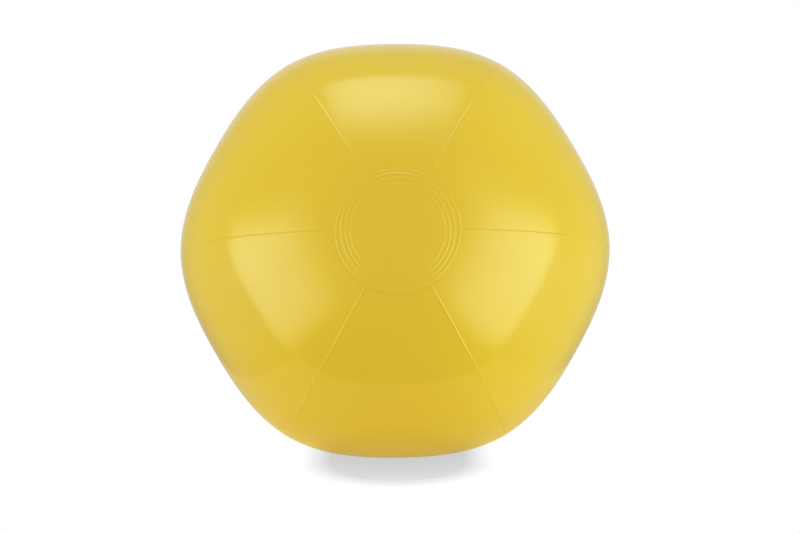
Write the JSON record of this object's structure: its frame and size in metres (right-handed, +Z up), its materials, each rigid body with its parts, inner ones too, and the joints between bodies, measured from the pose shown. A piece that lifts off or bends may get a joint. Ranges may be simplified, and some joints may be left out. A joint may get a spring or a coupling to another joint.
{
  "type": "beach ball",
  "caption": "Inflated vinyl beach ball of welded gore panels with a ringed disc on each pole, lying on a panel, and a push-in air valve with a stopper on a strap.",
  "frame": {"origin": "centre of the ball", "axes": "+Z up as the ball lies on its bottom panel, +X to the right through a seam, -Y to the front; the pole axis lies in the YZ plane and is tipped up 15 degrees at the front disc"},
  "size_m": [0.28, 0.272, 0.269],
  "materials": {
    "vinyl": "glossy soft vinyl film",
    "valve_vinyl": "milky soft vinyl moulding"
  },
  "bodies": {
    "ball": {"panel_top": "vinyl", "panel_upper_right": "vinyl", "panel_lower_right": "vinyl", "panel_bottom": "vinyl", "panel_lower_left": "vinyl", "panel_upper_left": "vinyl", "front_disc": "vinyl", "rear_disc": "vinyl", "valve_flange": "valve_vinyl", "valve_web": "valve_vinyl"},
    "stem": {"valve_stem": "valve_vinyl"},
    "stopper": {"stopper_plug": "valve_vinyl", "stopper_strap": "valve_vinyl"},
    "flap": {"valve_flap": "valve_vinyl"}
  },
  "joints": [
    {"name": "stem_pull", "type": "slide", "parent": "ball", "child": "stem", "axis": [0, 0.8192, 0.5736], "range_m": [0, 0.016], "deforming": ["valve_web"]},
    {"name": "stopper_swing", "type": "hinge", "parent": "stem", "child": "stopper", "pos_m": [0, 0.11362, 0.07022], "axis": [-1, 0, 0], "range_deg": [0, 100]},
    {"name": "flap_open", "type": "hinge", "parent": "stem", "child": "flap", "pos_m": [0, 0.09414, 0.07111], "axis": [-1, 0, 0], "range_deg": [0, 60], "stiffness_Nm_per_rad": 0.0002}
  ]
}
